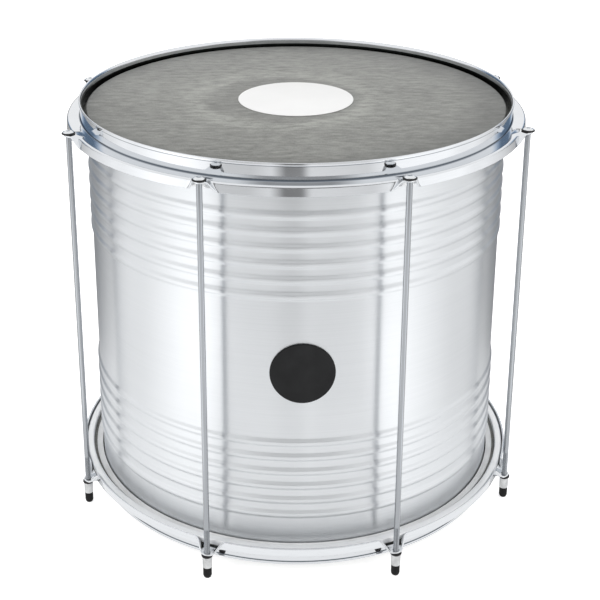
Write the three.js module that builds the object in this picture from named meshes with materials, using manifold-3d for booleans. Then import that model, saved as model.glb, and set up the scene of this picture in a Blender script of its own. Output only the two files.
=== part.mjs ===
// Surdo: a Brazilian bass drum of aluminium with two heads, in millimetres, +Z up.
// It stands on the rubber feet of its eight tuning nuts. The origin is on the floor,
// under the drum's axis, and the badge faces -Y.

import * as THREE from 'three';
import { mergeVertices } from 'three/addons/utils/BufferGeometryUtils.js';
import Module from 'manifold-3d';

const wasm = await Module();
wasm.setup();

// Driving dimensions
const shellDiameter = 457.2;
const hoopToHoopHeight = 447;
const rodCount = 8;
const seatGap = 0.3;

// Facets round the large rings and round the small turned pieces
const ringSegments = 40;
const patchSegments = 24;
const turnedSegments = 10;
const footSegments = 8;

// Counterhoop: one pressed strip with a rim, a collar, a shelf, a skirt and an ear at each rod
const hoop = {
  collarGap: 5.8,
  sheet: 2,
  beadLip: 1,
  beadHeight: 3.2,
  beadRound: 0.9,
  shelfDepth: 18,
  shelfWidth: 14.8,
  creaseRound: 1.4,
  skirtDrop: 10.8,
  skirtDraft: 0.6,
};

// Ear: a channel pressed out of the skirt, open at its outer end, with a flat floor for the rod
const ear = {
  rodReach: 6.5,
  overhang: 5,
  tipRadius: 7.5,
  rise: 2.2,
  floorWidth: 16,
  mouthWidth: 31,
  rampRun: 8,
  rampRoot: 6,
  holeClearance: 0.5,
  tipFacets: 5,
};

// Shell: thin sheet with two groups of pressed beads, the same distance from each end
const shell = {
  wall: 1.5,
  edgeRound: 0.7,
  beadsPerGroup: 6,
  beadPitch: 17,
  beadWidth: 9.6,
  beadCrownWidth: 4,
  beadHeight: 1.8,
  groupInset: 88.2,
};

// Head: a skin stretched over the shell's edge, drawn down to a brim that lies on its flesh hoop
const head = {
  rimAbove: 9.5,
  skin: 0.7,
  edgeGap: 0.9,
  edgeRound: 1.6,
  fleshGap: 11.7,
  fleshWidth: 7.7,
  fleshHeight: 5.8,
  fleshRound: 1.2,
};

// Round trim
const patch = { diameter: 127, thickness: 0.5, crown: 0.2 };
const badge = { diameter: 66.5, thickness: 1.2, drop: 1.9 };

// Tension rod, its button head with a hexagon socket, and the washers
const rod = {
  diameter: 6,
  threadInNut: 9.5,
  headDiameter: 12,
  headRim: 0.6,
  headDome: 1.2,
  crownDiameter: 8,
  socketAcross: 4,
  socketDepth: 1.4,
};
const headWasher = { diameter: 14.2, thickness: 1.2 };
const nutWasher = { diameter: 12, thickness: 2 };

// Tuning nut and the rubber foot that is plugged into its lower end
const nut = { diameter: 10, height: 13.3, chamfer: 0.7 };
const foot = {
  diameter: 9.2,
  height: 12.6,
  flatDiameter: 3.6,
  domeHeight: 4,
  shoulderDiameter: 6.4,
  shoulderHeight: 1,
  plugHeight: 2.1,
};

// How far every cutting shape runs past what it cuts
const overrun = 4;

// Places that follow from the sizes
const shellRadius = shellDiameter / 2;
const collarInner = shellRadius + hoop.collarGap;
const collarOuter = collarInner + hoop.sheet;
const skirtOuter = collarOuter + hoop.shelfWidth;
const rodCircleRadius = skirtOuter + ear.rodReach;
const skirtDepth = hoop.shelfDepth + hoop.skirtDrop;
const earDepth = hoop.shelfDepth - ear.rise;

const nutBottom = foot.height + seatGap;
const nutTop = nutBottom + nut.height;
const nutWasherBottom = nutTop + seatGap;
const lowerEarFace = nutWasherBottom + nutWasher.thickness + seatGap;
const bottomRim = lowerEarFace - earDepth;
const topRim = bottomRim + hoopToHoopHeight;
const midHeight = (bottomRim + topRim) / 2;
const upperEarFace = topRim - earDepth;
const headWasherBottom = upperEarFace + seatGap;
const rodHeadBottom = headWasherBottom + headWasher.thickness + seatGap;
const headFace = topRim - head.rimAbove;

// How deep under the rim the brim of a head lies, under the shelf, and then its flesh hoop
const brimDepth = hoop.shelfDepth + hoop.sheet + seatGap;
const fleshDepth = brimDepth + head.skin + seatGap;

// Materials
const finish = (color, roughness, metalness) =>
  new THREE.MeshStandardMaterial({ color, roughness, metalness });
const aluminium = () => finish('#c9cccf', 0.35, 1);
const chrome = () => finish('#d9dde2', 0.12, 1);
const steel = () => finish('#c4c8ca', 0.4, 1);
const blackSkin = () => finish('#3b3c3a', 0.6, 0);
const satinAluminium = () => finish('#d2d4d5', 0.4, 1);
const blackPlastic = () => finish('#121314', 0.3, 0);
const whiteVinyl = () => finish('#f1f2f2', 0.4, 0);
const blackRubber = () => finish('#1b1b1c', 0.85, 0);

// A body turned about +Z from points of radius and height, anticlockwise for outward faces
function turned(points, segments) {
  const profile = points.map(([radius, height]) => new THREE.Vector2(radius, height));
  const geometry = new THREE.LatheGeometry(profile, segments);
  return geometry.rotateX(Math.PI / 2);
}

// The same for a ring, whose last point joins its first
const turnedRing = (points, segments) => turned([...points, points[0]], segments);

// A flat outline pushed along +Z
function extruded(outline, depth, curveSegments = 1) {
  const shape = outline instanceof THREE.Shape
    ? outline
    : new THREE.Shape(outline.map(([x, y]) => new THREE.Vector2(x, y)));
  return new THREE.ExtrudeGeometry(shape, { depth, bevelEnabled: false, curveSegments });
}

// Solids for joining and cutting
function toSolid(geometry) {
  const bare = geometry.clone();
  bare.deleteAttribute('normal');
  bare.deleteAttribute('uv');
  const merged = mergeVertices(bare);
  const corners = Array.from(merged.index.array);
  const triVerts = [];
  for (let i = 0; i < corners.length; i += 3) {
    const [a, b, c] = corners.slice(i, i + 3);
    if (a !== b && b !== c && c !== a) triVerts.push(a, b, c);
  }
  return new wasm.Manifold(new wasm.Mesh({
    numProp: 3,
    vertProperties: new Float32Array(merged.attributes.position.array),
    triVerts: new Uint32Array(triVerts),
  }));
}

function toGeometry(solid) {
  const mesh = solid.getMesh();
  const geometry = new THREE.BufferGeometry();
  geometry.setAttribute('position', new THREE.BufferAttribute(mesh.vertProperties, mesh.numProp));
  geometry.setIndex(new THREE.BufferAttribute(mesh.triVerts, 1));
  return geometry;
}

// Angles of the rods about +Z, from the front face towards +X, with the badge midway
const rodAngles = Array.from({ length: rodCount }, (_, i) => ((i + 0.5) * 2 * Math.PI) / rodCount);

// Shell: the outside carries the beads, and the closed inside stays plain
function shellGeometry() {
  const inner = shellRadius - shell.wall;
  const half = hoopToHoopHeight / 2 - head.rimAbove - head.skin - seatGap;
  const outside = [[shellRadius - shell.edgeRound, -half], [shellRadius, -half + shell.edgeRound]];
  for (const side of [-1, 1]) {
    for (let i = 0; i < shell.beadsPerGroup; i += 1) {
      const step = i - (shell.beadsPerGroup - 1) / 2;
      const centre = side * (half - shell.groupInset) + step * shell.beadPitch;
      outside.push(
        [shellRadius, centre - shell.beadWidth / 2],
        [shellRadius + shell.beadHeight, centre - shell.beadCrownWidth / 2],
        [shellRadius + shell.beadHeight, centre + shell.beadCrownWidth / 2],
        [shellRadius, centre + shell.beadWidth / 2],
      );
    }
  }
  outside.push([shellRadius, half - shell.edgeRound], [shellRadius - shell.edgeRound, half]);
  return turnedRing([...outside, [inner, half], [inner, -half]], ringSegments);
}

// Head skin: its playing face is at z = 0. The collar runs down between shell and hoop, and the
// brim lies between the counterhoop's shelf and the flesh hoop.
function skinGeometry() {
  const topRadius = shellRadius + head.edgeGap + head.skin;
  const brimRadius = shellRadius + head.fleshGap + head.fleshWidth;
  const brimTop = head.rimAbove - brimDepth;
  return turned([
    [0, -head.skin],
    [topRadius - head.skin - head.edgeRound, -head.skin],
    [topRadius - head.skin, -head.skin - head.edgeRound],
    [topRadius - head.skin, brimTop - head.skin],
    [brimRadius, brimTop - head.skin],
    [brimRadius, brimTop],
    [topRadius, brimTop],
    [topRadius, -head.edgeRound],
    [topRadius - head.edgeRound, 0],
    [0, 0],
  ], ringSegments);
}

// Flesh hoop: the ring that stretches the skin, with its face against the brim at z = 0
function fleshHoopGeometry() {
  const inner = shellRadius + head.fleshGap;
  const outer = inner + head.fleshWidth;
  return turnedRing([
    [inner, -head.fleshHeight],
    [outer - head.fleshRound, -head.fleshHeight],
    [outer, -head.fleshHeight + head.fleshRound],
    [outer, 0],
    [inner, 0],
  ], ringSegments);
}

// Counterhoop without its ears: its rim edge is at z = 0, and the skirt hangs down
function hoopStrip() {
  const beadOuter = collarOuter + hoop.beadLip;
  const cornerOuter = skirtOuter - hoop.skirtDraft;
  const shelfUnder = hoop.shelfDepth + hoop.sheet;
  return turnedRing([
    [collarInner, -shelfUnder],
    [cornerOuter - hoop.sheet, -shelfUnder],
    [skirtOuter - hoop.sheet, -skirtDepth],
    [skirtOuter, -skirtDepth],
    [cornerOuter, -hoop.shelfDepth - hoop.creaseRound],
    [cornerOuter - hoop.creaseRound, -hoop.shelfDepth],
    [collarOuter + hoop.creaseRound, -hoop.shelfDepth],
    [collarOuter, -hoop.shelfDepth + hoop.creaseRound],
    [collarOuter, -hoop.beadHeight],
    [beadOuter, -hoop.beadHeight + hoop.beadRound],
    [beadOuter, -hoop.beadRound],
    [beadOuter - hoop.beadRound, 0],
    [collarInner, 0],
  ], ringSegments);
}

// The room that an ear takes up: an outline seen from outside and one seen from the side, that
// meet in one solid. An inset of the sheet's thickness gives the channel inside it. The ear's
// walls end in the skirt, so that the flesh hoop passes them.
function earRoom(inset) {
  const mouth = skirtDepth + (inset > 0 ? overrun : 0);
  const slope = (ear.mouthWidth - ear.floorWidth) / 2 / (skirtDepth - earDepth);
  const sideInset = inset * (Math.hypot(slope, 1) - slope);
  const floorHalf = ear.floorWidth / 2 - sideInset;
  const mouthHalf = floorHalf + slope * (mouth - earDepth - inset);
  const endRadius = rodCircleRadius + ear.overhang + (inset > 0 ? overrun : 0);
  const flatStart = rodCircleRadius - headWasher.diameter / 2;
  const rampStart = flatStart - ear.rampRun;
  const rootRadius = collarOuter + ear.rampRoot - hoop.creaseRound;
  const skirtMiddle = skirtOuter - hoop.sheet / 2;
  const shelfUnder = hoop.shelfDepth + hoop.sheet;

  const section = extruded([
    [-floorHalf, -earDepth - inset],
    [-mouthHalf, -mouth],
    [mouthHalf, -mouth],
    [floorHalf, -earDepth - inset],
  ], endRadius).rotateX(Math.PI / 2);

  const inner = inset > 0
    ? [[rootRadius, -mouth]]
    : [[skirtMiddle, -mouth], [skirtMiddle, -shelfUnder], [rootRadius, -shelfUnder]];
  const side = extruded([
    [rootRadius, -hoop.shelfDepth - inset],
    [rampStart, -hoop.shelfDepth - inset],
    [flatStart, -earDepth - inset],
    [endRadius, -earDepth - inset],
    [endRadius, -mouth],
    ...inner,
  ], ear.mouthWidth + 2 * overrun);
  side.rotateX(Math.PI / 2).rotateZ(-Math.PI / 2);
  side.translate(ear.mouthWidth / 2 + overrun, 0, 0);

  return toSolid(section).intersect(toSolid(side));
}

// The ear's outline from above: as wide as its mouth at the skirt, with a blunt round tip
function earPlan() {
  const skirtSide = new THREE.Vector2(ear.mouthWidth / 2, skirtOuter);
  const tipCentre = rodCircleRadius + ear.overhang - ear.tipRadius;
  const run = tipCentre - skirtOuter;
  const reach = Math.hypot(skirtSide.x, run);
  const tangent = Math.acos(ear.tipRadius / reach) - Math.atan2(run, skirtSide.x);
  const plan = new THREE.Shape();
  plan.moveTo(-skirtSide.x, 0);
  plan.lineTo(skirtSide.x, 0);
  plan.lineTo(skirtSide.x, skirtSide.y);
  plan.absarc(0, tipCentre, ear.tipRadius, tangent, Math.PI - tangent, false);
  plan.lineTo(-skirtSide.x, skirtSide.y);
  const block = extruded(plan, skirtDepth + overrun, ear.tipFacets);
  return toSolid(block.rotateZ(Math.PI).translate(0, 0, -skirtDepth - overrun / 2));
}

function hoopGeometry() {
  const turn = (solid, angle) => solid.rotate([0, 0, THREE.MathUtils.radToDeg(angle)]);
  const outside = earRoom(0).intersect(earPlan());
  const channel = earRoom(hoop.sheet);
  const hole = toSolid(
    new THREE.CylinderGeometry(
      rod.diameter / 2 + ear.holeClearance,
      rod.diameter / 2 + ear.holeClearance,
      2 * skirtDepth,
      turnedSegments,
    ).rotateX(Math.PI / 2).translate(0, -rodCircleRadius, -skirtDepth),
  );
  let solid = toSolid(hoopStrip());
  for (const angle of rodAngles) solid = solid.add(turn(outside, angle));
  for (const angle of rodAngles) solid = solid.subtract(turn(channel, angle)).subtract(turn(hole, angle));
  return toGeometry(solid);
}

// Tension rod: the underside of its head is at z = 0
function rodGeometry() {
  const radius = rod.diameter / 2;
  const headRadius = rod.headDiameter / 2;
  const length = rodHeadBottom - (nutTop - rod.threadInNut);
  const top = rod.headRim + rod.headDome;
  const body = toSolid(turned([
    [0, -length],
    [radius, -length],
    [radius, 0],
    [headRadius, 0],
    [headRadius, rod.headRim],
    [rod.crownDiameter / 2, top],
    [0, top],
  ], turnedSegments));
  const socketRadius = rod.socketAcross / Math.sqrt(3);
  const socket = new THREE.CylinderGeometry(socketRadius, socketRadius, 2 * rod.socketDepth, 6);
  return toGeometry(body.subtract(toSolid(socket.rotateX(Math.PI / 2).translate(0, 0, top))));
}

// A flat washer whose bore clears the rod
function washerGeometry({ diameter, thickness }) {
  const bore = rod.diameter / 2 + seatGap;
  return turnedRing([
    [bore, 0],
    [diameter / 2, 0],
    [diameter / 2, thickness],
    [bore, thickness],
  ], turnedSegments);
}

// Tuning nut: a round barrel with a through bore and chamfered ends
function nutGeometry() {
  const bore = rod.diameter / 2 + seatGap;
  const radius = nut.diameter / 2;
  return turnedRing([
    [bore, 0],
    [radius - nut.chamfer, 0],
    [radius, nut.chamfer],
    [radius, nut.height - nut.chamfer],
    [radius - nut.chamfer, nut.height],
    [bore, nut.height],
  ], turnedSegments);
}

// Rubber foot: a domed tip with a small flat, and a plug that holds it in the nut's bore
function footGeometry() {
  const radius = foot.diameter / 2;
  const plugTop = foot.height + seatGap + foot.plugHeight;
  const flat = foot.flatDiameter / 2;
  const plug = rod.diameter / 2;
  return turned([
    [0, 0],
    [flat, 0],
    [foot.shoulderDiameter / 2, foot.shoulderHeight],
    [radius, foot.domeHeight],
    [radius, foot.height],
    [plug, foot.height],
    [plug, plugTop],
    [0, plugTop],
  ], footSegments);
}

// Centre patch: a thin white disc with a slightly lower edge
function patchGeometry() {
  const radius = patch.diameter / 2;
  return turned([
    [0, 0],
    [radius, 0],
    [radius, patch.thickness - patch.crown],
    [radius - patch.crown, patch.thickness],
    [0, patch.thickness],
  ], patchSegments);
}

// Badge: a bare round disc bent to the shell, cut from two cylinders round the drum's axis
function badgeGeometry() {
  const back = shellRadius + seatGap;
  const front = back + badge.thickness;
  const radius = badge.diameter / 2;
  const sleeve = toSolid(turnedRing([
    [back, -radius],
    [front, -radius],
    [front, radius],
    [back, radius],
  ], 4 * ringSegments));
  const punch = new THREE.CylinderGeometry(radius, radius, shellDiameter, patchSegments);
  return toGeometry(sleeve.intersect(toSolid(punch.translate(0, -shellRadius, 0))));
}

// Assembly
const surdo = new THREE.Group();

function place(name, geometry, material, [x, y, z], turnX = 0) {
  const mesh = new THREE.Mesh(geometry, material);
  mesh.name = name;
  mesh.position.set(x, y, z);
  mesh.rotation.x = turnX;
  surdo.add(mesh);
}

place('shell', shellGeometry(), aluminium(), [0, 0, midHeight]);
place('badge', badgeGeometry(), blackPlastic(), [0, 0, midHeight - badge.drop]);
place('head_patch', patchGeometry(), whiteVinyl(), [0, 0, headFace + seatGap]);

// The lower head and hoop are the upper ones turned over
for (const [end, rimEdge, turnX] of [['top', topRim, 0], ['bottom', bottomRim, Math.PI]]) {
  const inward = end === 'top' ? -1 : 1;
  place(`${end}_hoop`, hoopGeometry(), chrome(), [0, 0, rimEdge], turnX);
  place(`${end}_head`, skinGeometry(), blackSkin(), [0, 0, rimEdge + inward * head.rimAbove], turnX);
  place(`${end}_flesh_hoop`, fleshHoopGeometry(), satinAluminium(),
    [0, 0, rimEdge + inward * fleshDepth], turnX);
}

rodAngles.forEach((angle, i) => {
  const x = rodCircleRadius * Math.sin(angle);
  const y = -rodCircleRadius * Math.cos(angle);
  const number = i + 1;
  place(`tension_rod_${number}`, rodGeometry(), chrome(), [x, y, rodHeadBottom]);
  place(`head_washer_${number}`, washerGeometry(headWasher), blackPlastic(), [x, y, headWasherBottom]);
  place(`nut_washer_${number}`, washerGeometry(nutWasher), blackPlastic(), [x, y, nutWasherBottom]);
  place(`tuning_nut_${number}`, nutGeometry(), steel(), [x, y, nutBottom]);
  place(`rubber_foot_${number}`, footGeometry(), blackRubber(), [x, y, 0]);
});

export default surdo;
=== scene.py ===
import math

import bmesh
import bpy
import numpy as np
from mathutils import Matrix, Vector


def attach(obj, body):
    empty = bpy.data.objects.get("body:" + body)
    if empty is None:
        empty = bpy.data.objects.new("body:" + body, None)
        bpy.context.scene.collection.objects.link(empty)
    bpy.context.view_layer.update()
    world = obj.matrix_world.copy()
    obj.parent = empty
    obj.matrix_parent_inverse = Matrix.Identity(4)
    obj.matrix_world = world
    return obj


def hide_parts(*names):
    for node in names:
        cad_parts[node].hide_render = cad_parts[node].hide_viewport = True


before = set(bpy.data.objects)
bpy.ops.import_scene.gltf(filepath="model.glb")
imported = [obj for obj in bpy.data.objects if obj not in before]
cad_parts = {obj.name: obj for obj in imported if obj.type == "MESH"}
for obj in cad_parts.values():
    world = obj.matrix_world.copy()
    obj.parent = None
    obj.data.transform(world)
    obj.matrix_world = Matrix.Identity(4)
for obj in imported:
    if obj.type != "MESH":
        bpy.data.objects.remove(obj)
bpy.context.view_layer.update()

# Sizes in millimetres

# Pieces and seats are as in the part's own source. Bends, beads' slopes and threads are finer here.
MM = 0.001
SEAT_GAP = 0.3
ROD_COUNT = 8
TOP_RIM, BOTTOM_RIM = 460.0, 13.0
MID_HEIGHT = (TOP_RIM + BOTTOM_RIM) / 2

SHELL_RADIUS, SHELL_HALF, SHELL_SHEET = 228.6, 213.0, 1.5
SHELL_EDGE, SHELL_EASE = 0.7, 0.2
BEADS, BEAD_PITCH, BEAD_GROUP = 6, 17.0, 124.8
BEAD_HEIGHT, BEAD_CREST, BEAD_SLOPE, BEAD_SAMPLED = 1.8, 0.9, 4.7, 6.6

COLLAR_OUTER, COLLAR_TOP = 236.4, 3.6
SHEET, SHEET_EASE = 2.0, 0.45
SHELF_DEPTH = 18.0
SKIRT_DEPTH, SKIRT_OUTER, SKIRT_DRAFT, SKIRT_BEND = 28.8, 251.2, 0.6, 1.8
RIM_FOLD_DEPTH = 3.2
DARK_WALL_DEPTH, DARK_WALL_REACH = 6.6, 0.15
ROD_CIRCLE = 257.7
EAR_DEPTH, EAR_FLOOR, EAR_MOUTH = 15.8, 16.0, 31.0
EAR_TIP_RADIUS, EAR_OVERHANG, EAR_HALF_SPAN = 7.5, 5.0, 17.0
EAR_HOLE_RADIUS, EAR_DRILL_LENGTH = 3.5, 8.0
RAMP_RUN = 8.0

FACE_UNDER_RIM = 9.5
SKIN, SKIN_RADIUS, BRIM_RADIUS = 0.7, 230.2, 248.0
BRIM_DEPTH = SHELF_DEPTH + SHEET + SEAT_GAP
BACKING_INNER, BACKING_OUTER, BACKING_SUNK = 230.0, 236.7, 0.1
FLESH_INNER, FLESH_HEIGHT = 240.3, 5.8
FLESH_DEPTH = BRIM_DEPTH + SKIN + SEAT_GAP
PATCH_RADIUS, PATCH_THICK = 63.5, 0.5
BADGE_RADIUS, BADGE_THICK, BADGE_UNDER_MIDDLE = 33.25, 1.2, 1.9

HEAD_WASHER, HEAD_WASHER_THICK = 14.2, 1.2
HEAD_WASHER_BOTTOM = TOP_RIM - EAR_DEPTH + SEAT_GAP
ROD_RADIUS, ROD_BOTTOM, ROD_HEAD_RADIUS, ROD_HEAD_BRIM, SOCKET = 3.0, 16.7, 5.9, 0.62, 2.0
ROD_HEAD_BOTTOM = HEAD_WASHER_BOTTOM + HEAD_WASHER_THICK + SEAT_GAP
THREAD_TOP, THREAD_PITCH, THREAD_DEPTH, THREAD_LEAD, THREAD_RUNOUT = 60.0, 1.0, 0.6, 0.9, 1.5
BORE = ROD_RADIUS + SEAT_GAP
NUT_WASHER, NUT_WASHER_THICK = 12.0, 2.0
NUT_WASHER_BOTTOM = BOTTOM_RIM + EAR_DEPTH - SEAT_GAP - NUT_WASHER_THICK
FOOT_FLAT, FOOT_RADIUS, FOOT_SHOULDER, PLUG_RADIUS, PLUG_TOP = 1.8, 4.6, 12.6, 3.0, 15.0
NUT_RADIUS, NUT_GROOVE_RADIUS = 5.0, 4.86
NUT_BOTTOM, NUT_TOP = FOOT_SHOULDER + SEAT_GAP, NUT_WASHER_BOTTOM - SEAT_GAP
KNURL_RIDGES, KNURL_DEPTH = 40, 0.13

rod_angles = [(i + 0.5) * 2 * math.pi / ROD_COUNT for i in range(ROD_COUNT)]


# Mesh tools
def rounded(points, radii, steps=5, closed=False):
    """A polyline with its corners turned into arcs of the given radii."""
    count = len(points)
    found = []
    for i, (point, radius) in enumerate(zip(points, radii)):
        if radius <= 0 or (not closed and i in (0, count - 1)):
            found.append(point)
            continue
        here = Vector(point)
        before, after = Vector(points[i - 1]), Vector(points[(i + 1) % count])
        u, v = (before - here), (after - here)
        room = min(u.length, v.length) * 0.49
        u, v = u.normalized(), v.normalized()
        half = u.angle(v) / 2
        reach = min(radius / math.tan(half), room)
        start, end = here + u * reach, here + v * reach
        centre = here + (u + v).normalized() * (reach / math.cos(half))
        a, b = start - centre, end - centre
        turn = a.angle_signed(b)
        for k in range(steps + 1):
            arm = Matrix.Rotation(-turn * k / steps, 2) @ a
            found.append(tuple(centre + arm))
    return found


def build(name, rings, material, wrap_along=False, sharp=40, merge=True):
    """A smooth mesh from an array of points: a row for each place around, a column for each along."""
    points = np.asarray(rings, float) * MM
    around, along = points.shape[:2]
    i, j = np.meshgrid(
        np.arange(around),
        np.arange(along if wrap_along else along - 1),
        indexing="ij",
    )
    i2, j2 = (i + 1) % around, (j + 1) % along
    faces = np.stack([i * along + j, i2 * along + j, i2 * along + j2, i * along + j2], -1)
    mesh = bpy.data.meshes.new(name)
    mesh.from_pydata(points.reshape(-1, 3).tolist(), [], faces.reshape(-1, 4).tolist())
    step_v = np.linalg.norm(np.diff(points, axis=1, append=points[:, :1]), axis=2).mean(0)
    v = np.concatenate([[0], np.cumsum(step_v)])
    reach = np.hypot(points[..., 0], points[..., 1]).max()
    u = np.arange(around + 1) * 2 * math.pi * reach / around
    corner = np.stack([
        np.stack([u[i], v[j]], -1), np.stack([u[i + 1], v[j]], -1),
        np.stack([u[i + 1], v[j + 1]], -1), np.stack([u[i], v[j + 1]], -1),
    ], -2)
    layer = mesh.uv_layers.new(name="surface_metres")
    layer.data.foreach_set("uv", corner.reshape(-1).astype(np.float32))
    work = bmesh.new()
    work.from_mesh(mesh)
    if merge:
        bmesh.ops.remove_doubles(work, verts=work.verts, dist=1e-7)
    bmesh.ops.recalc_face_normals(work, faces=work.faces)
    work.to_mesh(mesh)
    work.free()
    mesh.shade_smooth()
    mesh.set_sharp_from_angle(angle=math.radians(sharp))
    mesh.materials.append(material)
    return mesh


def turned(name, profile, segments, material, closed=True, sharp=40):
    """A mesh turned about Z from points of radius and height."""
    angles = np.arange(segments) * 2 * math.pi / segments
    radius = np.array([p[0] for p in profile])
    height = np.array([p[1] for p in profile])
    rings = np.stack([
        np.sin(angles)[:, None] * radius,
        -np.cos(angles)[:, None] * radius,
        np.broadcast_to(height, (segments, len(profile))),
    ], -1)
    return build(name, rings, material, wrap_along=closed, sharp=sharp)


def put(name, mesh, body, nodes, place=(0, 0, 0), turn=(0, 0, 0)):
    """Adds a piece that rides a body in place of its CAD nodes. The place is in millimetres."""
    piece = bpy.data.objects.new(name, mesh)
    bpy.context.scene.collection.objects.link(piece)
    piece.location = [value * MM for value in place]
    piece.rotation_euler = turn
    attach(piece, body)
    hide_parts(*nodes)


# Materials
def set_stops(ramp, stops):
    """Gives a colour ramp its stops, each a position from 0 to 1 and a colour."""
    while len(ramp.elements) < len(stops):
        ramp.elements.new(0.5)
    for element, (position, tone) in zip(ramp.elements, stops):
        element.position = position
        element.color = (*tone, 1)


class Look:
    """A node material: a principled shader and the nodes that feed it."""

    def __init__(self, name, color, roughness, metallic=0.0, **sockets):
        self.material = bpy.data.materials.new(name)
        self.material.use_nodes = True
        self.tree = self.material.node_tree
        self.shader = self.tree.nodes["Principled BSDF"]
        self.set("Base Color", (*color, 1))
        self.set("Roughness", roughness)
        self.set("Metallic", metallic)
        for socket, value in sockets.items():
            self.set(socket.replace("_", " "), value)

    def set(self, socket, value):
        self.shader.inputs[socket].default_value = value

    def add(self, kind, inputs=(), **settings):
        node = self.tree.nodes.new("ShaderNode" + kind)
        for key, value in settings.items():
            setattr(node, key, value)
        for key, value in dict(inputs).items():
            if isinstance(value, bpy.types.NodeSocket):
                self.tree.links.new(value, node.inputs[key])
            else:
                node.inputs[key].default_value = value
        return node

    def place(self):
        return self.add("TexCoord").outputs["Object"]

    def noise(self, scale, detail=3.0, rough=0.5):
        """Noise with so many features to a metre along X, Y and Z."""
        spaced = self.add("Mapping", {"Vector": self.place(), "Scale": scale}).outputs["Vector"]
        inputs = {"Vector": spaced, "Scale": 1.0, "Detail": detail, "Roughness": rough}
        return self.add("TexNoise", inputs).outputs["Fac"]

    def math(self, operation, *values):
        return self.add("Math", enumerate(values), operation=operation).outputs[0]

    def times(self, first, second):
        """The product of two colours or vectors."""
        return self.add("VectorMath", {0: first, 1: second}, operation="MULTIPLY").outputs[0]

    def length(self, vector):
        return self.add("VectorMath", {0: vector}, operation="LENGTH").outputs["Value"]

    def spread(self, value, low, high, start=0.3, end=0.7):
        """The value, with its range from start to end mapped to low and high."""
        inputs = {"Value": value, "From Min": start, "From Max": end, "To Min": low, "To Max": high}
        return self.add("MapRange", inputs).outputs["Result"]

    def tint(self, value, dark, light, start=0.3, end=0.7):
        """A colour from dark, where the value is at start, to light, where it is at end."""
        return self.ramp(value, [(start, dark), (end, light)])

    def ramp(self, value, stops):
        node = self.add("ValToRGB", {"Fac": value})
        set_stops(node.color_ramp, stops)
        return node.outputs["Color"]

    def bump(self, height, distance, strength):
        inputs = {"Height": height, "Distance": distance, "Strength": strength}
        return self.add("Bump", inputs).outputs["Normal"]

    def feed(self, socket, output):
        self.tree.links.new(output, self.shader.inputs[socket])


def brushed_aluminium():
    """Sheet brushed round the shell, so that what it mirrors smears up and down."""
    look = Look("brushed_aluminium", (0.79, 0.812, 0.834), 0.34, 1.0, Anisotropic=0.92,
                Anisotropic_Rotation=0.25)
    fine = look.noise((7, 7, 2600), 3.0)
    broad = look.noise((2, 2, 150), 2.0)
    cloud = look.noise((9, 9, 6), 3.0)
    mix = look.math("MULTIPLY_ADD", broad, 0.25, fine)
    look.feed("Base Color", look.tint(mix, (0.765, 0.787, 0.808), (0.817, 0.838, 0.86), 0.4, 0.85))
    streak = look.spread(fine, 0.31, 0.38)
    haze = look.spread(cloud, -0.015, 0.02)
    look.feed("Roughness", look.math("ADD", streak, haze))
    look.feed("Normal", look.bump(fine, 0.00001, 0.3))
    look.feed("Tangent", look.add("Tangent", direction_type="RADIAL", axis="Z").outputs[0])
    return look.material


def hoop_chrome():
    """Polished chrome, with painted shade and painted reflection along its two creases, where the
    photograph shows dark lines.
    """
    look = Look("hoop_chrome", (0.78, 0.8, 0.826), 0.05, 1.0)
    haze = look.noise((14, 14, 14), 4.0)
    wipe = look.noise((60, 60, 700), 2.0)
    x, y, z = look.add("SeparateXYZ", {0: look.place()}).outputs
    reach = look.length(look.add("CombineXYZ", {0: x, 1: y}).outputs[0])
    color = look.tint(wipe, (0.755, 0.775, 0.8), (0.78, 0.8, 0.826))
    # Painted shade and painted reflection: the colour is darkened along the shelf's crease and under
    # the rim's fold.
    shelf_crease_shade = (COLLAR_OUTER + 0.4, -SHELF_DEPTH + 0.4, 1.5, (0.11, 0.135, 0.165))
    rim_crease_shade = (COLLAR_OUTER + 0.1, 0.1 - COLLAR_TOP, 0.9, (0.42, 0.44, 0.46))
    for radius, height, width, tone in (shelf_crease_shade, rim_crease_shade):
        across = look.math("SUBTRACT", reach, radius * MM)
        along = look.math("SUBTRACT", z, height * MM)
        off = look.length(look.add("CombineXYZ", {0: across, 1: along}).outputs[0])
        unshaded = look.spread(off, 0.0, 1.0, 0.0003, width * MM)
        color = look.times(color, look.tint(unshaded, tone, (1, 1, 1), 0.0, 1.0))
    look.feed("Base Color", color)
    look.feed("Roughness", look.spread(haze, 0.04, 0.09))
    ripple = look.noise((26, 26, 26), 1.0)
    look.feed("Normal", look.bump(ripple, 0.0004, 0.12))
    return look.material


def drawn_steel():
    """Chrome over drawn rod: bright on its head, with painted shade that darkens the shank to match
    the photograph.
    """
    look = Look("drawn_rod_chrome", (0.80, 0.82, 0.84), 0.12, 1.0)
    grain = look.noise((2600, 2600, 14), 2.0)
    cloud = look.noise((50, 50, 22), 3.0)
    height = look.add("SeparateXYZ", {0: look.place()}).outputs["Z"]
    # Painted shade: below the head the colour is about half as bright.
    head = look.spread(height, 0.0, 1.0, -1.5 * MM, -0.5 * MM)
    shank_shade = look.tint(head, (0.5, 0.51, 0.525), (1, 1, 1), 0.0, 1.0)
    color = look.tint(grain, (0.74, 0.76, 0.78), (0.84, 0.86, 0.88))
    look.feed("Base Color", look.times(color, shank_shade))
    look.feed("Roughness", look.spread(cloud, 0.07, 0.15))
    look.feed("Normal", look.bump(grain, 0.00001, 0.3))
    return look.material


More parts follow.
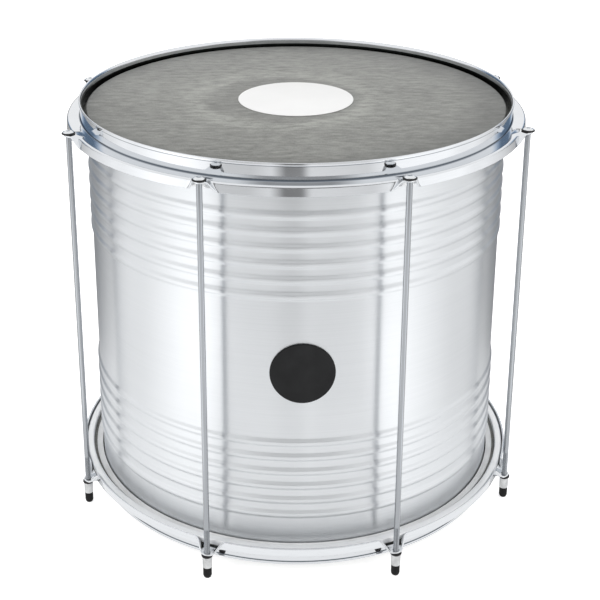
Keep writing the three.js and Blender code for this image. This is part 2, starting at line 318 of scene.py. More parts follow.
def satin_nut():
    """Satin steel, with a cloudy grey like that of dulled plating."""
    look = Look("satin_nut_steel", (0.80, 0.81, 0.81), 0.32, 1.0)
    grain = look.noise((900, 900, 900), 3.0)
    cloud = look.noise((160, 160, 160), 3.0)
    look.feed("Base Color", look.tint(cloud, (0.53, 0.54, 0.545), (0.75, 0.76, 0.765)))
    look.feed("Roughness", look.spread(grain, 0.26, 0.42))
    look.feed("Normal", look.bump(grain, 0.00003, 0.5))
    return look.material


def napa_skin():
    """Black napa with a fine grain along X. Its colour is paler in a ring round the centre patch, and
    painted shade darkens it towards the rim.
    """
    look = Look("black_napa_skin", (0.12, 0.12, 0.114), 0.5, Specular_IOR_Level=0.5,
                Coat_Weight=0.22, Coat_Roughness=0.38, Sheen_Weight=0.12)
    weft = look.noise((60, 1300, 60), 3.0)
    warp = look.noise((1100, 160, 60), 2.0)
    grain = look.math("ADD", weft, warp)
    cloud = look.noise((7, 12, 7), 3.0)
    streak = look.noise((52, 150, 40), 3.0, rough=0.7)
    both = look.math("MULTIPLY_ADD", streak, 3.0, look.math("ADD", grain, cloud))
    leather = look.tint(look.spread(both, 0.0, 1.0, 2.3, 3.7), (0.115, 0.118, 0.106),
                        (0.37, 0.376, 0.345), 0.0, 1.0)
    ring_middle = (0.014, -0.002, 0)
    middle = look.add("VectorMath", {0: look.place(), 1: ring_middle}, operation="ADD").outputs[0]
    reach = look.length(look.times(middle, (1, 1, 0)))
    wander = look.spread(look.noise((14, 14, 14), 3.0), -0.008, 0.008)
    # Painted shade: the ramp darkens the colour towards the rim; nearer the middle it gives the paler
    # ring round the patch.
    ring_tone_and_rim_shade = look.ramp(look.math("ADD", reach, wander), [(at, (tone,) * 3) for at, tone in (
        (0.066, 0.60), (0.079, 0.64), (0.090, 1.0), (0.101, 0.98), (0.120, 0.76), (0.19, 0.68),
        (0.228, 0.40))])
    look.feed("Base Color", look.times(leather, ring_tone_and_rim_shade))
    look.feed("Roughness", look.spread(weft, 0.42, 0.58))
    look.feed("Normal", look.bump(grain, 0.0002, 0.7))
    return look.material


def skin_backing():
    """The pale woven side of the skin, where it turns up into its flesh hoop."""
    look = Look("skin_backing_cloth", (0.84, 0.845, 0.85), 0.7, Sheen_Weight=0.2)
    weave = look.noise((1400, 1400, 500), 2.0)
    cloud = look.noise((40, 40, 60), 3.0)
    look.feed("Base Color", look.tint(cloud, (0.78, 0.785, 0.79), (0.90, 0.905, 0.91)))
    look.feed("Roughness", look.spread(weave, 0.7, 0.9))
    look.feed("Normal", look.bump(weave, 0.0002, 0.5))
    return look.material


def satin_aluminium():
    """Flesh hoop: rolled aluminium with faint lines along the ring."""
    look = Look("satin_flesh_hoop", (0.92, 0.93, 0.94), 0.3, 0.45)
    cloud = look.noise((30, 30, 30), 3.0)
    grain = look.noise((500, 500, 2600), 2.0)
    look.feed("Base Color", look.tint(cloud, (0.90, 0.91, 0.92), (0.95, 0.96, 0.97)))
    look.feed("Roughness", look.spread(grain, 0.28, 0.42))
    look.feed("Normal", look.bump(grain, 0.00003, 0.4))
    return look.material


def mirrored_skin():
    """Inner wall of the rim: a painted reflection, near black, in place of chrome that mirrors the
    black skin beside it.
    """
    look = Look("rim_inner_wall", (0.035, 0.04, 0.038), 0.16, 1.0)
    haze = look.noise((30, 30, 300), 3.0)
    look.feed("Base Color", look.tint(haze, (0.025, 0.03, 0.028), (0.05, 0.055, 0.052)))
    look.feed("Roughness", look.spread(haze, 0.12, 0.24))
    return look.material


def white_vinyl():
    """The centre patch: smooth white film with faint clouds."""
    look = Look("white_vinyl", (0.88, 0.88, 0.875), 0.5, Specular_IOR_Level=0.2)
    grain = look.noise((700, 700, 700), 3.0)
    cloud = look.noise((18, 18, 18), 3.0)
    look.feed("Base Color", look.tint(cloud, (0.865, 0.865, 0.86), (0.895, 0.895, 0.89)))
    look.feed("Roughness", look.spread(grain, 0.36, 0.5))
    look.feed("Normal", look.bump(grain, 0.00004, 0.35))
    return look.material


def gloss_black():
    """The badge: black lacquer with slight waves and fine scuffs."""
    look = Look("gloss_black_badge", (0.008, 0.0083, 0.009), 0.12, Specular_IOR_Level=0.22)
    cloud = look.noise((60, 60, 60), 3.0)
    scuff = look.noise((30, 30, 900), 2.0)
    look.feed("Base Color", look.tint(cloud, (0.006, 0.0063, 0.007), (0.011, 0.0115, 0.0125)))
    look.feed("Roughness", look.spread(scuff, 0.07, 0.16))
    look.feed("Normal", look.bump(look.noise((45, 45, 45), 1.0), 0.0002, 0.08))
    return look.material


def black_nylon():
    """The washers: black plastic with a fine moulded grain."""
    look = Look("black_nylon_washer", (0.012, 0.012, 0.013), 0.45, Specular_IOR_Level=0.3)
    grain = look.noise((1500, 1500, 1500), 2.0)
    look.feed("Base Color", look.tint(grain, (0.011, 0.011, 0.012), (0.02, 0.02, 0.021)))
    look.feed("Roughness", look.spread(grain, 0.3, 0.48))
    look.feed("Normal", look.bump(grain, 0.00003, 0.4))
    return look.material


def black_rubber():
    """The feet: dull rubber, a little dusty."""
    look = Look("black_rubber", (0.008, 0.008, 0.0085), 0.62, Specular_IOR_Level=0.3)
    grain = look.noise((1800, 1800, 1800), 3.0)
    cloud = look.noise((140, 140, 140), 3.0)
    look.feed("Base Color", look.tint(cloud, (0.005, 0.005, 0.0055), (0.016, 0.016, 0.017)))
    look.feed("Roughness", look.spread(grain, 0.6, 0.85))
    look.feed("Normal", look.bump(grain, 0.00005, 0.5))
    return look.material


ALUMINIUM = brushed_aluminium()
HOOP_CHROME = hoop_chrome()
ROD_CHROME = drawn_steel()
NUT_STEEL = satin_nut()
NAPA = napa_skin()
BACKING = skin_backing()
SATIN = satin_aluminium()
INNER_WALL = mirrored_skin()
VINYL = white_vinyl()
BADGE_BLACK = gloss_black()
NYLON = black_nylon()
RUBBER = black_rubber()


# Shell: rolled sheet with two groups of six pressed beads
def bead_centres():
    """Heights of the beads' crests, from the middle of the shell."""
    steps = [(k - (BEADS - 1) / 2) * BEAD_PITCH for k in range(BEADS)]
    return [side * BEAD_GROUP + step for side in (-1, 1) for step in steps]


def bead_lift(z):
    """How far the sheet stands out at a height z, all of it on a bead's crest."""
    off = min(abs(z - centre) for centre in bead_centres())
    if off >= BEAD_CREST + BEAD_SLOPE:
        return 0.0
    return BEAD_HEIGHT * (0.5 + 0.5 * math.cos(math.pi * max(0.0, off - BEAD_CREST) / BEAD_SLOPE))


def shell_profile():
    """Radius and height round the sheet: up the outside, over the rim and down the inside."""
    plain = np.linspace(-SHELL_HALF + SHELL_EDGE, SHELL_HALF - SHELL_EDGE, 60)
    beads = [centre + np.linspace(-BEAD_SAMPLED, BEAD_SAMPLED, 23) for centre in bead_centres()]
    heights = np.unique(np.concatenate([plain, *beads]).round(4))
    outside = [(SHELL_RADIUS + bead_lift(z), z) for z in heights]
    soft, edge, inner = (SHELL_RADIUS - inset for inset in (SHELL_EASE, SHELL_EDGE, SHELL_SHEET))
    rim = [(soft, SHELL_HALF - SHELL_EASE), (edge, SHELL_HALF)]
    inside = [(inner, SHELL_HALF), (inner, -SHELL_HALF)]
    foot = [(edge, -SHELL_HALF), (soft, -SHELL_HALF + SHELL_EASE)]
    return outside + rim + inside + foot


put("shell_rolled_sheet", turned("shell_rolled_sheet", shell_profile(), 256, ALUMINIUM, sharp=60),
    "drum", ["shell"], (0, 0, MID_HEIGHT))


# Heads: the skin is drawn over the shell's edge to a brim that lies on its flesh hoop
brim_top = FACE_UNDER_RIM - BRIM_DEPTH
brim_bottom = brim_top - SKIN
skin = rounded(
    [(0, 0), (SKIN_RADIUS, 0), (SKIN_RADIUS, brim_top), (BRIM_RADIUS, brim_top),
     (BRIM_RADIUS, brim_bottom), (SKIN_RADIUS - SKIN, brim_bottom),
     (SKIN_RADIUS - SKIN, -SKIN), (0, -SKIN)],
    [0, 2.2, 1.0, 0.2, 0.2, 0.6, 1.4, 0], steps=6,
)
backing = rounded(
    [(BACKING_INNER, brim_bottom + BACKING_SUNK), (BACKING_INNER, brim_bottom - 0.9),
     (BACKING_OUTER, brim_bottom - 1.3), (BACKING_OUTER + 0.2, brim_bottom + BACKING_SUNK)],
    [0, 0.7, 1.1, 0], steps=5,
)
flesh = rounded(
    [(FLESH_INNER, 0), (BRIM_RADIUS, 0), (BRIM_RADIUS, -FLESH_HEIGHT), (FLESH_INNER, -FLESH_HEIGHT)],
    [0.3, 0.3, 1.6, 1.4], steps=6, closed=True,
)
skin_mesh = turned("napa_skin", skin, 192, NAPA, closed=False)
backing_mesh = turned("skin_backing", backing, 192, BACKING)
flesh_mesh = turned("flesh_hoop_ring", flesh, 192, SATIN)
for end, rim, sign, turn in (("top", TOP_RIM, -1, 0.0), ("bottom", BOTTOM_RIM, 1, math.pi)):
    face_place = (0, 0, rim + sign * FACE_UNDER_RIM)
    put(f"{end}_head_skin", skin_mesh, "drum", [f"{end}_head"], face_place, (turn, 0, 0))
    put(f"{end}_head_backing", backing_mesh, "drum", [f"{end}_head"], face_place,
        (turn, 0, 0))
    put(f"{end}_flesh_hoop_ring", flesh_mesh, "drum", [f"{end}_flesh_hoop"],
        (0, 0, rim + sign * FLESH_DEPTH), (turn, 0, 0))


# Counterhoop: one pressed sheet with a rim bead, a shelf, a skirt and eight drawn ears
def ear_tip_line(x):
    """How far out the ear's edge lies, seen from above, at a distance x from its middle."""
    centre = ROD_CIRCLE + EAR_OVERHANG - EAR_TIP_RADIUS
    run = centre - SKIRT_OUTER
    reach = math.hypot(EAR_MOUTH / 2, run)
    tangent = math.acos(EAR_TIP_RADIUS / reach) - math.atan2(run, EAR_MOUTH / 2)
    tx = EAR_TIP_RADIUS * math.cos(tangent)
    ty = centre + EAR_TIP_RADIUS * math.sin(tangent)
    if abs(x) <= tx:
        return centre + math.sqrt(EAR_TIP_RADIUS ** 2 - x * x)
    return ty - (abs(x) - tx) * (ty - SKIRT_OUTER) / (EAR_MOUTH / 2 - tx)


def sampled(points, count):
    """Points at even spacing along a polyline."""
    points = np.array(points, float)
    run = np.concatenate([[0], np.cumsum(np.linalg.norm(np.diff(points, axis=0), axis=1))])
    at = np.linspace(0, run[-1], count)
    return np.stack([np.interp(at, run, points[:, k]) for k in (0, 1)], -1)


def hoop_column(x):
    """Radius and height down one line of the pressed sheet, at a distance x from an ear."""
    slope = (EAR_MOUTH - EAR_FLOOR) / 2 / (SKIRT_DEPTH - EAR_DEPTH)
    floor = max(-SKIRT_DEPTH, -EAR_DEPTH - max(0.0, abs(x) - EAR_FLOOR / 2) / slope)
    corner = SKIRT_OUTER - SKIRT_DRAFT
    ring = math.sqrt(SKIRT_OUTER ** 2 - x * x)
    end = SKIRT_OUTER + (max(0.0, ear_tip_line(x) - ring) if abs(x) < EAR_HALF_SPAN else 0.0)
    collar = sampled([(COLLAR_OUTER, -COLLAR_TOP), (COLLAR_OUTER, -SHELF_DEPTH)], 24)
    if floor > -SHELF_DEPTH:
        flat = ROD_CIRCLE - HEAD_WASHER / 2
        shelf = [(COLLAR_OUTER, -SHELF_DEPTH), (flat - RAMP_RUN, -SHELF_DEPTH), (flat, floor)]
        outer = [(flat, floor), (end, floor)]
    else:
        bend = min(SKIRT_BEND, -SHELF_DEPTH - floor)
        over = rounded([(COLLAR_OUTER, -SHELF_DEPTH), (corner, -SHELF_DEPTH), (SKIRT_OUTER, floor)],
                       [0, bend, 0], steps=8)
        shelf = over[:6]
        outer = over[5:] + [(end + 1e-6, floor)]
    return np.concatenate([collar[:-1], sampled(shelf, 25)[:-1], sampled(outer, 22)])


def eased(values, passes, axis):
    """Rounds creases by averaging with the neighbours, and keeps both ends."""
    for _ in range(passes):
        values = np.moveaxis(values, axis, 0).copy()
        values[1:-1] = values[1:-1] / 2 + (values[:-2] + values[2:]) / 4
        values = np.moveaxis(values, 0, axis)
    return values


def hoop_mesh():
    """The pressed strip: its columns stand close at an ear and wider apart between the ears."""
    step, near_end = 0.64, 19.2
    near = np.arange(0, near_end + step / 2, step)
    edge = SKIRT_OUTER * math.sin(math.pi / ROD_COUNT)
    far = near[-1] + (edge - near[-1]) * np.linspace(0, 1, 11)[1:] ** 1.25
    half = np.concatenate([near, far])
    places = np.concatenate([-half[::-1], half[1:]])
    profile = np.array([hoop_column(x) for x in places])
    profile = eased(profile, 6, 0)
    profile = eased(profile, 5, 1)
    profile = eased(profile, 2, 0)[:-1]
    places = places[:-1]

    turn = np.arcsin(places / SKIRT_OUTER)
    radius, height = profile[..., 0], profile[..., 1]
    inside = np.minimum(radius, SKIRT_OUTER)
    beyond = np.maximum(radius - SKIRT_OUTER, 0)
    across = np.sin(turn)[:, None] * inside
    forward = np.cos(turn)[:, None] * inside + beyond
    columns = []
    for angle in rod_angles:
        c, s = math.cos(angle), math.sin(angle)
        columns.append(np.stack([
            forward * s + across * c, -forward * c + across * s, height,
        ], -1))
    sheet = np.concatenate(columns)

    around = np.roll(sheet, -1, 0) - np.roll(sheet, 1, 0)
    along = np.gradient(sheet, axis=1)
    normal = np.cross(along, around)
    normal /= np.linalg.norm(normal, axis=2, keepdims=True)
    if (normal[:, 0, :2] * sheet[:, 0, :2]).sum() < 0:
        normal = -normal
    out = along[:, -1] / np.linalg.norm(along[:, -1], axis=1, keepdims=True)
    last, up = sheet[:, -1].copy(), normal[:, -1]
    back = sheet - normal * SHEET
    sheet[:, -1] = last - out * SHEET_EASE
    back[:, -1] = last - up * SHEET - out * SHEET_EASE
    lip = np.stack([last - up * SHEET_EASE, last - up * (SHEET - SHEET_EASE)], 1)

    unit = sheet[:, :1, :2] / np.linalg.norm(sheet[:, :1, :2], axis=2, keepdims=True)
    bead = rounded(
        [(COLLAR_OUTER - 1.96, -3.1), (COLLAR_OUTER - 1.8, -2.4), (COLLAR_OUTER - 1.5, -1.6),
         (COLLAR_OUTER - 1.05, -0.85), (COLLAR_OUTER - 0.5, -0.25), (COLLAR_OUTER, 0),
         (COLLAR_OUTER + 1, 0), (COLLAR_OUTER + 1, -RIM_FOLD_DEPTH), (COLLAR_OUTER, -RIM_FOLD_DEPTH)],
        [0, 0, 0, 0, 0, 0, 0.9, 0.9, 0.2], steps=5,
    )
    rim = np.stack([
        np.concatenate([unit[:, 0] * r, np.full((len(unit), 1), z)], 1) for r, z in bead
    ], 1)
    rings = np.concatenate([sheet, lip, back[:, ::-1], rim], 1)
    mesh = build("pressed_hoop", rings, HOOP_CHROME, wrap_along=True, sharp=60, merge=False)
    return pierced(mesh)


def pierced(mesh):
    """Cuts the rods' holes through the ears, and gives the rim's inner wall its near-black painted
    reflection.
    """
    cutter = bmesh.new()
    for angle in rod_angles:
        centre = Vector((ROD_CIRCLE * math.sin(angle), -ROD_CIRCLE * math.cos(angle), -EAR_DEPTH))
        bmesh.ops.create_cone(
            cutter, cap_ends=True, segments=32, radius1=EAR_HOLE_RADIUS * MM,
            radius2=EAR_HOLE_RADIUS * MM, depth=EAR_DRILL_LENGTH * MM,
            matrix=Matrix.Translation(centre * MM),
        )
    drills = bpy.data.meshes.new("drills")
    cutter.to_mesh(drills)
    cutter.free()
    drill = bpy.data.objects.new("drills", drills)
    blank = bpy.data.objects.new("pressed_blank", mesh)
    for item in (drill, blank):
        bpy.context.scene.collection.objects.link(item)
    cut = blank.modifiers.new("holes", "BOOLEAN")
    cut.operation, cut.solver, cut.object = "DIFFERENCE", "EXACT", drill
    bpy.context.view_layer.update()
    made = bpy.data.meshes.new_from_object(blank.evaluated_get(bpy.context.evaluated_depsgraph_get()))
    for item in (drill, blank):
        bpy.data.objects.remove(item)
    made.name = "pressed_hoop"
    made.materials.clear()
    made.materials.append(HOOP_CHROME)
    made.materials.append(INNER_WALL)
    # Painted reflection: faces of the rim's inner wall below DARK_WALL_DEPTH take the near-black
    # material.
    wall = (COLLAR_OUTER - SHEET + DARK_WALL_REACH) * MM
    for face in made.polygons:
        x, y, z = face.center
        face.material_index = 1 if math.hypot(x, y) < wall and z < -DARK_WALL_DEPTH * MM else 0
    return made


pressed = hoop_mesh()
put("top_hoop_pressed", pressed, "drum", ["top_hoop"], (0, 0, TOP_RIM))
put("bottom_hoop_pressed", pressed, "drum", ["bottom_hoop"], (0, 0, BOTTOM_RIM),
    (math.pi, 0, 0))


# Centre patch and badge
disc = rounded(
    [(0, PATCH_THICK), (PATCH_RADIUS, PATCH_THICK), (PATCH_RADIUS, 0), (0, 0)],
    [0, 0.35, 0, 0], steps=4,
)
put("centre_patch_disc", turned("centre_patch_disc", disc, 128, VINYL, closed=False), "drum",
    ["head_patch"], (0, 0, TOP_RIM - FACE_UNDER_RIM + SEAT_GAP))


def badge_mesh():
    """A thin disc with a rounded edge, bent to the shell's curve."""
    back, segments = SHELL_RADIUS + SEAT_GAP, 96
    front = [(r, BADGE_THICK) for r in (0, 8, 16, 24, 30, 32.0)]
    edge = [(BADGE_RADIUS - inset, lift) for inset, lift in (
        (0.75, 1.18), (0.3, 1.02), (0.05, 0.72), (0, 0.4), (0, 0))]
    face = front + edge + [(r, 0) for r in (24, 12, 0)]
    points = []
    for angle in np.arange(segments) * 2 * math.pi / segments:
        column = []
        for r, lift in face:
            x, z = r * math.sin(angle), r * math.cos(angle)
            column.append((x, -math.sqrt((back + lift) ** 2 - x * x), z))
        points.append(column)
    return build("badge_disc", points, BADGE_BLACK)


put("badge_disc", badge_mesh(), "drum", ["badge"],
    (0, 0, MID_HEIGHT - BADGE_UNDER_MIDDLE))


# Tension rods, washers, tuning nuts and rubber feet
def rod_rows():
    """Rings up the rod: what each is, its radius or depth, and its height from under the head."""
    start, thread_end = ROD_BOTTOM - ROD_HEAD_BOTTOM, THREAD_TOP - ROD_HEAD_BOTTOM
    rows = [("ring", 0.0, start), ("ring", 2.3, start)]
    for z in np.arange(start + 0.4, thread_end, THREAD_PITCH / 6):
        share = min(1.0, (thread_end - z) / THREAD_RUNOUT, (z - start) / THREAD_LEAD)
        rows.append(("thread", THREAD_DEPTH * share, z))
    rows += [("ring", ROD_RADIUS, z) for z in (thread_end, thread_end + 0.5, -1.0, -0.4)]
    rows += [("ring", ROD_RADIUS + 0.2, -0.12), ("ring", ROD_RADIUS + 0.6, 0)]
    rows += [("ring", ROD_HEAD_RADIUS + step, z) for step, z in (
        (-0.2, 0), (0.03, 0.1), (0.08, 0.35), (0, ROD_HEAD_BRIM))]
    for share in np.linspace(0.12, 1, 9):
        height = ROD_HEAD_BRIM + 1.18 * math.sin(share * math.pi / 2)
        rows.append(("ring", ROD_HEAD_RADIUS - 3.1 * share, height))
    rows += [("hex", SOCKET + 0.14, 1.8), ("hex", SOCKET, 1.66), ("hex", SOCKET, 0.45)]
    return rows + [("ring", 1.2, 0.4), ("ring", 0.0, 0.1)]


def rod_mesh():
    """From the threaded end, through the plain shank, to a dished head with a hexagon socket."""
    segments = 24
    turn = np.arange(segments) / segments
    angle = turn * 2 * math.pi
    rows = rod_rows()
    points = np.zeros((segments, len(rows), 3))
    for j, (kind, size, z) in enumerate(rows):
        if kind == "thread":
            phase = (z / THREAD_PITCH - turn) % 1
            radius = ROD_RADIUS - size * np.clip(np.abs(phase - 0.5) * 2.6 - 0.25, 0, 1)
        elif kind == "hex":
            radius = size / np.cos(angle % (math.pi / 3) - math.pi / 6)
        else:
            radius = np.full(segments, size)
        points[:, j, 0] = radius * np.sin(angle)
        points[:, j, 1] = -radius * np.cos(angle)
        points[:, j, 2] = z
    return build("tension_rod", points, ROD_CHROME, sharp=38)


def washer_mesh(name, diameter, thickness):
    """A flat ring round the rod, with its outer edges rounded."""
    outer = diameter / 2
    outline = rounded(
        [(BORE, 0), (outer, 0), (outer, thickness), (BORE, thickness)],
        [0.15, 0.4, 0.4, 0.15], steps=4, closed=True,
    )
    return turned(name, outline, 48, NYLON)


def nut_mesh():
    """A barrel with chamfered ends, fine straight knurling and a groove near its top."""
    segments, height = 120, NUT_TOP - NUT_BOTTOM
    angle = np.arange(segments) * 2 * math.pi / segments
    ridge = 0.5 + 0.5 * np.cos(angle * KNURL_RIDGES)
    end = [(BORE, 0), (4.25, 0), (4.45, 0.05), (4.9, 0.55), (NUT_RADIUS, 0.8)]
    knurled = [1.5, *np.linspace(2.0, height - 3.1, 6), height - 2.7]
    rows = [(radius, z, 0) for radius, z in end]
    rows += [(NUT_RADIUS, 1.3, 0)]
    rows += [(NUT_RADIUS, z, KNURL_DEPTH) for z in knurled]
    rows += [(NUT_RADIUS, height - 2.5, 0), (NUT_GROOVE_RADIUS, height - 2.4, 0),
             (NUT_GROOVE_RADIUS, height - 2.1, 0), (NUT_RADIUS, height - 2.0, 0)]
    rows += [(radius, height - z, 0) for radius, z in reversed(end)]
    points = np.zeros((segments, len(rows), 3))
    for j, (radius, z, depth) in enumerate(rows):
        reach = radius - depth * ridge
        points[:, j] = np.stack([reach * np.sin(angle), -reach * np.cos(angle),
                                 np.full(segments, z)], -1)
    return build("tuning_nut", points, NUT_STEEL, wrap_along=True, sharp=50)


foot = rounded(
    [(0, 0), (FOOT_FLAT, 0), (3.7, 0.9), (FOOT_RADIUS, 3.3), (FOOT_RADIUS, FOOT_SHOULDER),
     (PLUG_RADIUS, FOOT_SHOULDER), (PLUG_RADIUS, PLUG_TOP), (0, PLUG_TOP)],
    [0, 1.2, 2.5, 5, 0.35, 0, 0.2, 0], steps=5,
)
rod_part = rod_mesh()
head_washer_part = washer_mesh("head_washer", HEAD_WASHER, HEAD_WASHER_THICK)
nut_washer_part = washer_mesh("nut_washer", NUT_WASHER, NUT_WASHER_THICK)
nut_part = nut_mesh()
foot_part = turned("rubber_foot", foot, 40, RUBBER, closed=False)

for number, angle in enumerate(rod_angles, start=1):
    x, y = ROD_CIRCLE * math.sin(angle), -ROD_CIRCLE * math.cos(angle)
    face = (0, 0, angle)
    for name, mesh, body, node, slot, z in (
        ("rod_threaded", rod_part, "rod", "tension_rod", "chrome_rod", ROD_HEAD_BOTTOM),
        ("upper_washer", head_washer_part, "rod", "head_washer", "black_gloss", HEAD_WASHER_BOTTOM),
        ("lower_washer", nut_washer_part, "washer", "nut_washer", "black_gloss", NUT_WASHER_BOTTOM),
        ("nut_knurled", nut_part, "nut", "tuning_nut", "satin_steel", NUT_BOTTOM),
        ("foot_domed", foot_part, "nut", "rubber_foot", "black_rubber", 0.0),
    ):
        put(f"{name}_{number}", mesh, f"{body}_{number}", [f"{node}_{number}"], (x, y, z), face)


# Camera at the photograph's angle, from a fit to the rims, rods and shell
CAMERA_PLACE = (-0.0500, -1.3727, 0.8680)
CAMERA_DOWN, CAMERA_TURN = 20.04, -1.19
camera = bpy.data.cameras.new("camera")
camera.sensor_width = 36
camera.lens = 77.84
camera.shift_x = 0.0394
camera.shift_y = -0.2168
camera.clip_end = 50
viewer = bpy.data.objects.new("camera", camera)
viewer.location = CAMERA_PLACE
viewer.rotation_euler = (math.radians(90 - CAMERA_DOWN), 0, math.radians(CAMERA_TURN))
bpy.context.scene.collection.objects.link(viewer)
bpy.context.scene.camera = viewer


# Studio: a white floor and world, lamps for the dull pieces, and what the metal mirrors

# Tones are emission strengths at degrees round from the front. They were set in rounds, from
# the measured brightness of places in the photograph and of the same places in the render.
# Floor values are distances from the drum's axis in metres, from where a change starts to its end.
SIDE_TONES = [(-180, 0.34), (-162, 0.3), (-150, 0.19), (-138, 0.2), (-126, 0.31), (-112, 0.54),
              (-96, 0.83), (-78, 1.2), (-64, 1.55), (-50, 1.7), (-43, 1.4), (-37, 1.08),
              (-10, 1.08), (2, 1.08), (5.5, 1.25), (9, 1.08), (36, 1.06), (42, 1.45), (52, 1.65),
              (66, 1.3), (80, 0.98), (96, 0.7), (108, 0.48), (120, 0.31), (132, 0.21),
              (146, 0.19), (162, 0.28), (180, 0.34)]
FAR_TONES = [(-180, 0.6), (-165, 0.5), (-150, 0.38), (-125, 0.45), (-108, 0.85), (-66, 1.4),
             (-47, 1.15), (-38, 0.7), (-24, 0.68), (-14, 0.84), (-7, 0.24), (1, 0.26), (5, 0.83),
             (34, 0.78), (48, 1.15), (80, 1.2), (108, 0.8), (125, 0.42), (150, 0.38), (165, 0.5),
             (180, 0.6)]
BRIGHTEST = 1.8
MIRROR_FOCUS = SHELL_RADIUS / 2 * MM
UNDER_TONE, UNDER_FLOOR = 0.9, (0.235, 0.295)
CLOSE_TONE, CLOSE_FLOOR = 1.06, (0.36, 0.48)
FAR_FLOOR = (1.0, 1.5)
FLOOR_SIZE, FLOOR_WHITE, FLOOR_LIFT = 16, 0.88, 0.75
CARD_SIZE, CARD_HEIGHT = 12, 0.0005

# The room that metal sees: bounds in degrees of height above the horizon and round from the front
ROOM_TOP, AHEAD_TOP, BEHIND_TOP = (5, 12), (26, 36), (20, 28)
BRIGHT_SIDES = ((40, 58), (100, 122))
AHEAD_END = (15, 36)
BEHIND_SPAN = ((120, 136), (148, 164))
AHEAD_SHARE, BEHIND_SHARE = 0.66, 0.84
ROOM_TONE, DULL_LEVEL = 0.09, 0.5
BLUE_SHARES = (("Red", 0.6), ("Green", 0.86), ("Blue", 1.22))


def glow(material_name, build_nodes):
    """A material whose whole node tree is made by build_nodes."""
    material = bpy.data.materials.new(material_name)
    material.use_nodes = True
    tree = material.node_tree
    tree.nodes.clear()
    build_nodes(tree)
    return material


def link_value(tree, value, socket):
    if isinstance(value, bpy.types.NodeSocket):
        tree.links.new(value, socket)
    else:
        socket.default_value = value


def calc(tree, operation, *values):
    """The result of a math node whose inputs are numbers or sockets."""
    node = tree.nodes.new("ShaderNodeMath")
    node.operation = operation
    for value, socket in zip(values, node.inputs):
        link_value(tree, value, socket)
    return node.outputs[0]


def soft_step(tree, value, start, end):
    """0 before start and 1 past end, with a soft change between them."""
    node = tree.nodes.new("ShaderNodeMapRange")
    node.interpolation_type = "SMOOTHSTEP"
    link_value(tree, value, node.inputs["Value"])
    node.inputs["From Min"].default_value = start
    node.inputs["From Max"].default_value = end
    return node.outputs["Result"]


def soft_drop(tree, value, start, end):
    """1 before start and 0 past end, with a soft change between them."""
    return calc(tree, "SUBTRACT", 1.0, soft_step(tree, value, start, end))


def between(tree, value, rise, fall):
    """1 inside a range, with a soft rise and a soft drop at its ends."""
    return calc(tree, "MULTIPLY", soft_step(tree, value, *rise), soft_drop(tree, value, *fall))


def blended(tree, share, first, second):
    """first where share is 0, second where it is 1."""
    gap = calc(tree, "SUBTRACT", second, first)
    return calc(tree, "MULTIPLY_ADD", gap, share, first)


def azimuth(tree, x, y):
    """Degrees round from the front, positive towards +X."""
    return calc(tree, "DEGREES", calc(tree, "ARCTAN2", x, calc(tree, "MULTIPLY", y, -1.0)))


def tone_round(tree, degrees, stops):
    """The tone at an azimuth, from a table of degrees and tones."""
    ramp = tree.nodes.new("ShaderNodeValToRGB")
    set_stops(ramp.color_ramp, [((at + 180) / 360, (tone / BRIGHTEST,) * 3) for at, tone in stops])
    share = calc(tree, "DIVIDE", calc(tree, "ADD", degrees, 180.0), 360.0)
    tree.links.new(share, ramp.inputs["Fac"])
    return calc(tree, "MULTIPLY", ramp.outputs["Color"], BRIGHTEST)


def split_vector(tree, output):
    """X, Y and Z of a texture coordinate."""
    place = tree.nodes.new("ShaderNodeTexCoord").outputs[output]
    split = tree.nodes.new("ShaderNodeSeparateXYZ")
    tree.links.new(place, split.inputs[0])
    return split.outputs


def floor_nodes(tree):
    """Pale and dull, with a glow that camera, transmission and, past the card, glossy rays see."""
    diffuse = tree.nodes.new("ShaderNodeBsdfDiffuse")
    diffuse.inputs["Color"].default_value = (FLOOR_WHITE, FLOOR_WHITE, FLOOR_WHITE, 1)
    path = tree.nodes.new("ShaderNodeLightPath").outputs
    seen = calc(tree, "MAXIMUM", path["Is Camera Ray"], path["Is Transmission Ray"])
    seen = calc(tree, "MAXIMUM", seen, path["Is Glossy Ray"])
    lift = tree.nodes.new("ShaderNodeEmission")
    tree.links.new(calc(tree, "MULTIPLY", seen, FLOOR_LIFT), lift.inputs["Strength"])
    both = tree.nodes.new("ShaderNodeAddShader")
    tree.links.new(diffuse.outputs[0], both.inputs[0])
    tree.links.new(lift.outputs[0], both.inputs[1])
    out = tree.nodes.new("ShaderNodeOutputMaterial")
    tree.links.new(both.outputs[0], out.inputs["Surface"])


def plane(name, size, place, material):
    """A square of the stage, with its size and place in metres."""
    mesh = bpy.data.meshes.new(name)
    h = size / 2
    mesh.from_pydata([(-h, -h, 0), (h, -h, 0), (h, h, 0), (-h, h, 0)], [], [(0, 1, 2, 3)])
    mesh.materials.append(material)
    item = bpy.data.objects.new(name, mesh)
    item.location = place
    bpy.context.scene.collection.objects.link(item)
    return item


plane("floor", FLOOR_SIZE, (0, 0, 0), glow("pale_floor", floor_nodes))


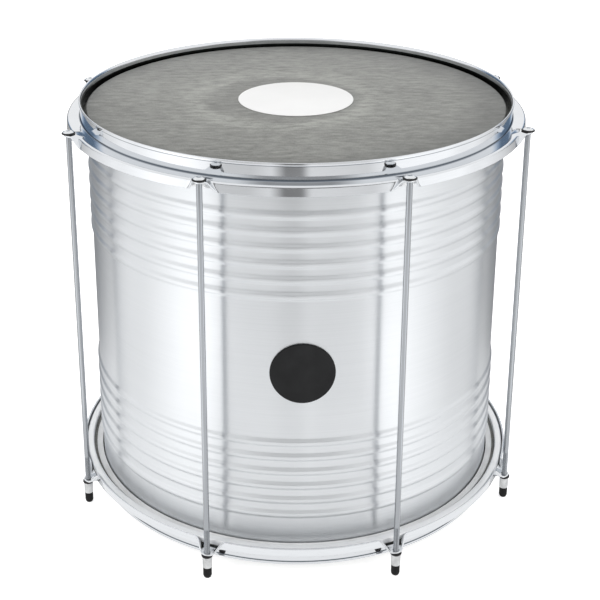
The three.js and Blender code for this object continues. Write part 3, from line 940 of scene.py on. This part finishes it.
def card_nodes(tree):
    """What metal mirrors instead of the floor: grey tones that make upright bands in the shell."""
    x, y, _ = split_vector(tree, "Object")
    held = calc(tree, "MINIMUM", calc(tree, "MAXIMUM", y, -MIRROR_FOCUS), MIRROR_FOCUS)
    degrees = azimuth(tree, x, calc(tree, "SUBTRACT", y, held))
    distance = calc(tree, "SQRT", calc(tree, "MULTIPLY_ADD", x, x, calc(tree, "MULTIPLY", y, y)))
    side, far = tone_round(tree, degrees, SIDE_TONES), tone_round(tree, degrees, FAR_TONES)
    tone = blended(tree, soft_step(tree, distance, *FAR_FLOOR), side, far)
    close = blended(tree, soft_step(tree, distance, *UNDER_FLOOR), UNDER_TONE, CLOSE_TONE)
    tone = blended(tree, soft_step(tree, distance, *CLOSE_FLOOR), close, tone)
    shine = tree.nodes.new("ShaderNodeEmission")
    tree.links.new(tone, shine.inputs["Strength"])
    out = tree.nodes.new("ShaderNodeOutputMaterial")
    tree.links.new(shine.outputs[0], out.inputs["Surface"])


card = plane("reflection_card", CARD_SIZE, (0, 0, CARD_HEIGHT), glow("grey_card", card_nodes))
for ray in ("camera", "diffuse", "shadow", "transmission", "volume_scatter"):
    setattr(card, f"visible_{ray}", False)


def world_nodes(tree):
    """White, but metal sees a dark room low down, higher in front and blue to both sides behind."""
    x, y, z = split_vector(tree, "Generated")
    turn = calc(tree, "ABSOLUTE", azimuth(tree, x, y))
    climb = calc(tree, "DEGREES", calc(tree, "ARCSINE", z))
    bright = between(tree, turn, *BRIGHT_SIDES)
    room = calc(tree, "MULTIPLY", soft_drop(tree, climb, *ROOM_TOP),
                calc(tree, "SUBTRACT", 1.0, bright))
    ahead = calc(tree, "MULTIPLY", soft_drop(tree, climb, *AHEAD_TOP),
                 soft_drop(tree, turn, *AHEAD_END))
    behind = calc(tree, "MULTIPLY", soft_drop(tree, climb, *BEHIND_TOP),
                  between(tree, turn, *BEHIND_SPAN))
    dark = calc(tree, "MAXIMUM", room, calc(tree, "MULTIPLY", ahead, AHEAD_SHARE))
    dark = calc(tree, "MAXIMUM", dark, calc(tree, "MULTIPLY", behind, BEHIND_SHARE))
    tone = blended(tree, dark, 1.0, ROOM_TONE)
    path = tree.nodes.new("ShaderNodeLightPath").outputs
    shown = calc(tree, "MAXIMUM", path["Is Camera Ray"], path["Is Transmission Ray"])
    level = blended(tree, shown, DULL_LEVEL, 1.0)
    strength = blended(tree, path["Is Glossy Ray"], level, tone)
    blue = calc(tree, "MULTIPLY", behind, path["Is Glossy Ray"])
    color = tree.nodes.new("ShaderNodeCombineColor")
    for channel, share in BLUE_SHARES:
        link_value(tree, blended(tree, blue, 1.0, share), color.inputs[channel])
    background = tree.nodes["Background"]
    tree.links.new(color.outputs[0], background.inputs["Color"])
    tree.links.new(strength, background.inputs["Strength"])


world = bpy.data.worlds.new("studio")
world.use_nodes = True
world_nodes(world.node_tree)
bpy.context.scene.world = world


def lamp(name, size, power, place, target):
    """A rectangular softbox that metal doesn't mirror, in metres and watts."""
    data = bpy.data.lights.new(name, "AREA")
    data.shape = "RECTANGLE"
    data.size, data.size_y = size
    data.energy = power
    item = bpy.data.objects.new(name, data)
    item.location = place
    item.rotation_euler = (Vector(target) - Vector(place)).to_track_quat("-Z", "Y").to_euler()
    item.visible_glossy = False
    bpy.context.scene.collection.objects.link(item)


lamp("softbox_left", (1.4, 1.8), 24, (-2.2, -1.3, 1.5), (0, 0, 0.25))
lamp("softbox_right", (1.4, 1.8), 19, (2.1, -1.5, 1.5), (0, 0, 0.25))
lamp("softbox_above", (2.4, 2.4), 23.5, (0, 0.3, 2.6), (0, 0, 0.4))

bpy.context.scene.view_settings.view_transform = "Standard"
